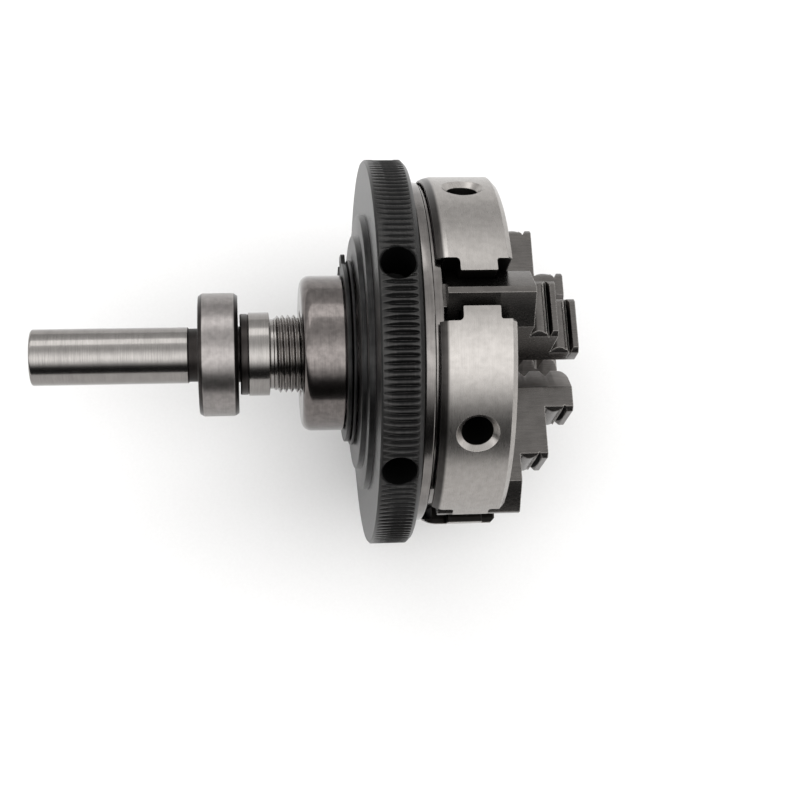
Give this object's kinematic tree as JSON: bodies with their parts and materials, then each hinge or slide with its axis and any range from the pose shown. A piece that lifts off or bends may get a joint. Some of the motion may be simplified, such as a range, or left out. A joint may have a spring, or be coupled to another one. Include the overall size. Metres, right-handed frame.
{
  "type": "lathe chuck",
  "caption": "Mini self-centring lathe chuck: stepped reversible-style jaws moved by a scroll and knurled ring, threaded onto a plain-shank arbor with a ball bearing.",
  "frame": {"origin": "centre of the flat free end of the shank", "axes": "+X along the turning axis from the shank to the jaws; +Z along jaw 1, outwards; jaw 4 slides along +Y"},
  "size_m": [0.0954, 0.0688, 0.0688],
  "materials": {
    "brushed_steel": "fine turned and brushed satin steel",
    "ground_steel": "ground steel, semi-bright",
    "jaw_steel": "hardened grey steel, fine ground",
    "black_oxide": "black oxide on machined steel",
    "shield_steel": "dark pressed sheet",
    "cage_steel": "pressed steel",
    "ball_steel": "polished"
  },
  "bodies": {
    "chuck": {"chuck_body": "brushed_steel", "arbor": "ground_steel", "retaining_ring": "black_oxide", "thrust_washer": "black_oxide", "bearing_inner_ring": "ground_steel"},
    "scroll": {"scroll_wheel": "black_oxide", "scroll_plate": "brushed_steel"},
    "jaw_slide_1": {"jaw_1": "jaw_steel"},
    "jaw_slide_2": {"jaw_2": "jaw_steel"},
    "jaw_slide_3": {"jaw_3": "jaw_steel"},
    "jaw_slide_4": {"jaw_4": "jaw_steel"},
    "bearing_outer": {"bearing_outer_ring": "ground_steel", "bearing_shield_rear": "shield_steel", "bearing_shield_front": "shield_steel"},
    "ball_set": {"bearing_cage": "cage_steel", "bearing_ball_1": "ball_steel", "bearing_ball_2": "ball_steel", "bearing_ball_3": "ball_steel", "bearing_ball_4": "ball_steel", "bearing_ball_5": "ball_steel", "bearing_ball_6": "ball_steel", "bearing_ball_7": "ball_steel", "bearing_ball_8": "ball_steel"}
  },
  "joints": [
    {"name": "scroll_turn", "type": "hinge", "parent": "chuck", "child": "scroll", "pos_m": [0.062, 0, 0], "axis": [1, 0, 0], "range_deg": [-390, 670]},
    {"name": "jaw_travel_1", "type": "slide", "parent": "chuck", "child": "jaw_slide_1", "axis": [0, 0, 1], "range_m": [-0.0035, 0.006]},
    {"name": "jaw_travel_2", "type": "slide", "parent": "chuck", "child": "jaw_slide_2", "axis": [0, -1, 0], "range_m": [-0.0035, 0.006]},
    {"name": "jaw_travel_3", "type": "slide", "parent": "chuck", "child": "jaw_slide_3", "axis": [0, 0, -1], "range_m": [-0.0035, 0.006]},
    {"name": "jaw_travel_4", "type": "slide", "parent": "chuck", "child": "jaw_slide_4", "axis": [0, 1, 0], "range_m": [-0.0035, 0.006]},
    {"name": "bearing_spin", "type": "hinge", "parent": "chuck", "child": "bearing_outer", "pos_m": [0.0329, 0, 0], "axis": [1, 0, 0], "continuous": true},
    {"name": "ball_set_spin", "type": "hinge", "parent": "chuck", "child": "ball_set", "pos_m": [0.0329, 0, 0], "axis": [1, 0, 0], "continuous": true}
  ],
  "couplings": [
    {"joint": "jaw_travel_1", "follows": "scroll_turn", "m_per_rad": 0.0005093},
    {"joint": "jaw_travel_2", "follows": "scroll_turn", "m_per_rad": 0.0005093},
    {"joint": "jaw_travel_3", "follows": "scroll_turn", "m_per_rad": 0.0005093},
    {"joint": "jaw_travel_4", "follows": "scroll_turn", "m_per_rad": 0.0005093},
    {"joint": "ball_set_spin", "follows": "bearing_spin", "ratio": 0.594}
  ]
}
